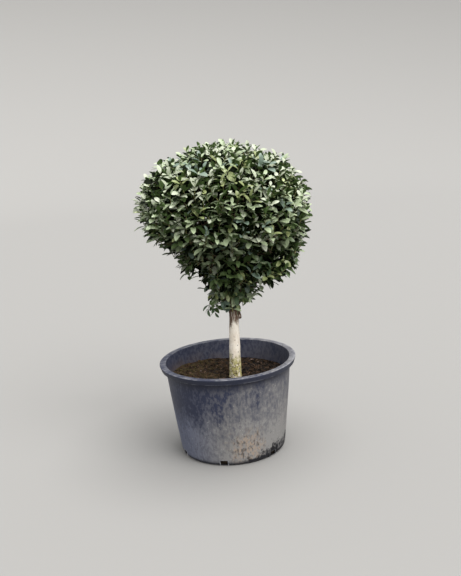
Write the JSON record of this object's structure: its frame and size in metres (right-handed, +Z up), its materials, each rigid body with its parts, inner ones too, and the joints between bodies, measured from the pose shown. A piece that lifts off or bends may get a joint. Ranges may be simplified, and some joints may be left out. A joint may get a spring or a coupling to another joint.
{
  "type": "lollipop topiary shrub in a nursery pot",
  "caption": "Small-leaved evergreen shrub trained as a lollipop standard: a loosely clipped leafy head on a clear stem, growing in a round plastic nursery pot of compost.",
  "frame": {"origin": "centre of the pot's flat underside, on the ground", "axes": "+Z up along the stem, -Y towards the front of the plant, +X to its right seen from the front"},
  "size_m": [0.3799, 0.3749, 0.6766],
  "materials": {
    "pot_plastic": "weathered dark blue-grey moulded plastic, chalky and dirty on one side",
    "compost": "moist dark brown compost with fibres",
    "pale_bark": "smooth cream bark, lichened at the foot and brown at the top",
    "brown_bark": "grey-brown twig bark",
    "dome_leaves": "dark green leaves with a pale waxy sheen",
    "skirt_leaves": "darker shaded green leaves"
  },
  "bodies": {
    "root": {"pot": "pot_plastic", "soil": "compost", "trunk": "pale_bark", "pruned_stub": "brown_bark", "bough_leader": "brown_bark", "bough_right": "brown_bark", "bough_back_right": "brown_bark", "bough_back_left": "brown_bark", "bough_left": "brown_bark", "bough_front_left": "brown_bark", "bough_front_right": "brown_bark", "sprig_twig": "brown_bark", "crown_right": "dome_leaves", "crown_back_right": "dome_leaves", "crown_back_left": "dome_leaves", "crown_left": "dome_leaves", "crown_front_left": "dome_leaves", "crown_front_right": "dome_leaves", "crown_top": "dome_leaves", "skirt_right_back": "skirt_leaves", "skirt_back": "skirt_leaves", "skirt_left_back": "skirt_leaves", "skirt_left_front": "skirt_leaves", "skirt_front": "skirt_leaves", "skirt_right_front": "skirt_leaves", "low_sprig": "skirt_leaves"}
  },
  "joints": []
}
